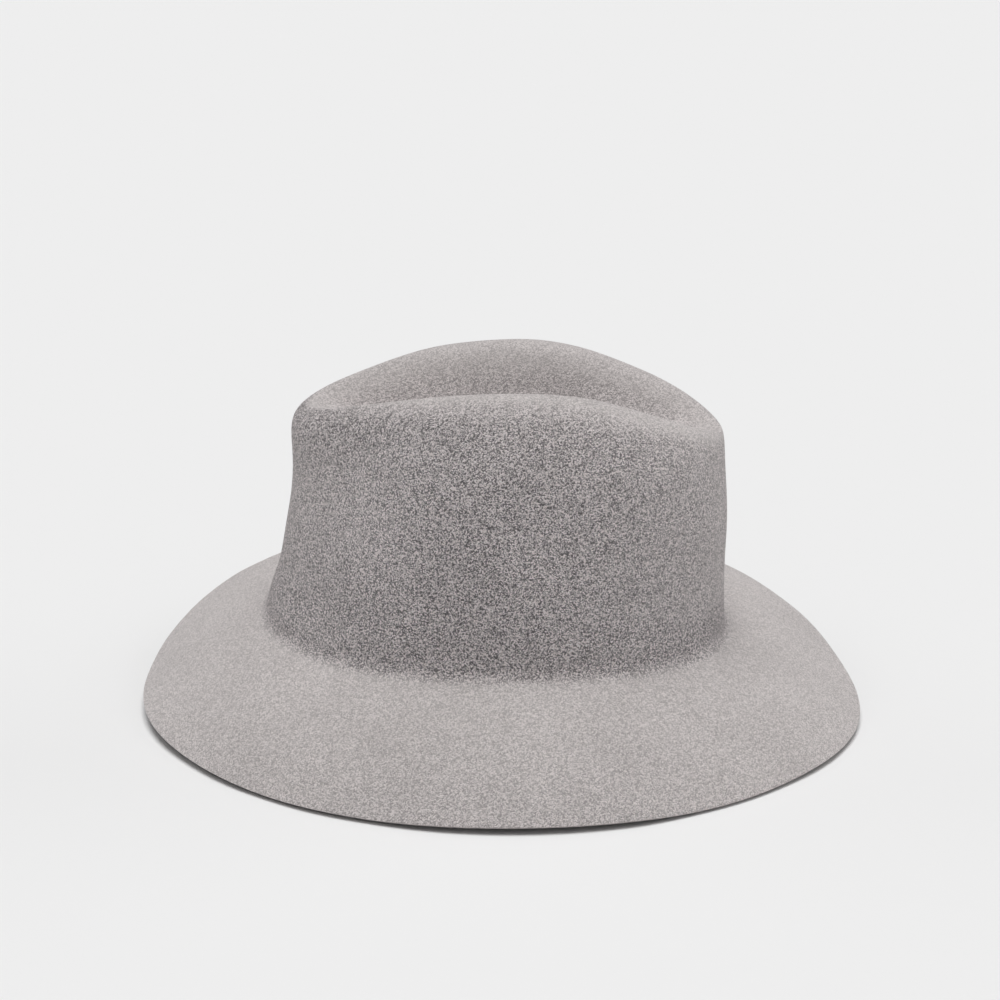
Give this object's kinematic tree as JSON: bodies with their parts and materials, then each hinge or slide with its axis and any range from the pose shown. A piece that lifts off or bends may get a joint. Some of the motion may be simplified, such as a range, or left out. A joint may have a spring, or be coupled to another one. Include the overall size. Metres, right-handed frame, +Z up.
{
  "type": "felt fedora hat",
  "caption": "Soft grey wool-felt fedora: creased crown with a closed oval ridge, drooping raw-edged brim, leather sweatband with reed inside.",
  "frame": {"origin": "middle of the hat's bounding box, on the ground that the brim rests on", "axes": "+Z up, +X towards the back of the hat, -X the front, -Y the wearer's left side"},
  "size_m": [0.3264, 0.279, 0.166],
  "materials": {
    "wool_felt": "brushed light grey wool felt",
    "sweatband_leather": "smooth matt dark brown leather",
    "reed_plastic": "translucent white plastic rod",
    "tape_cloth": "plain woven dark cotton tape",
    "sewing_thread": "twisted polyester thread",
    "bow_ribbon": "ribbed grosgrain ribbon"
  },
  "bodies": {
    "root": {"felt_body": "wool_felt", "sweatband": "sweatband_leather", "sweatband_reed": "reed_plastic", "reed_tape": "tape_cloth", "joint_tape": "tape_cloth", "sweatband_stitches": "sewing_thread", "back_joint_stitches": "sewing_thread", "bow_right_loop": "bow_ribbon", "bow_left_loop": "bow_ribbon", "bow_knot": "bow_ribbon"}
  },
  "joints": []
}
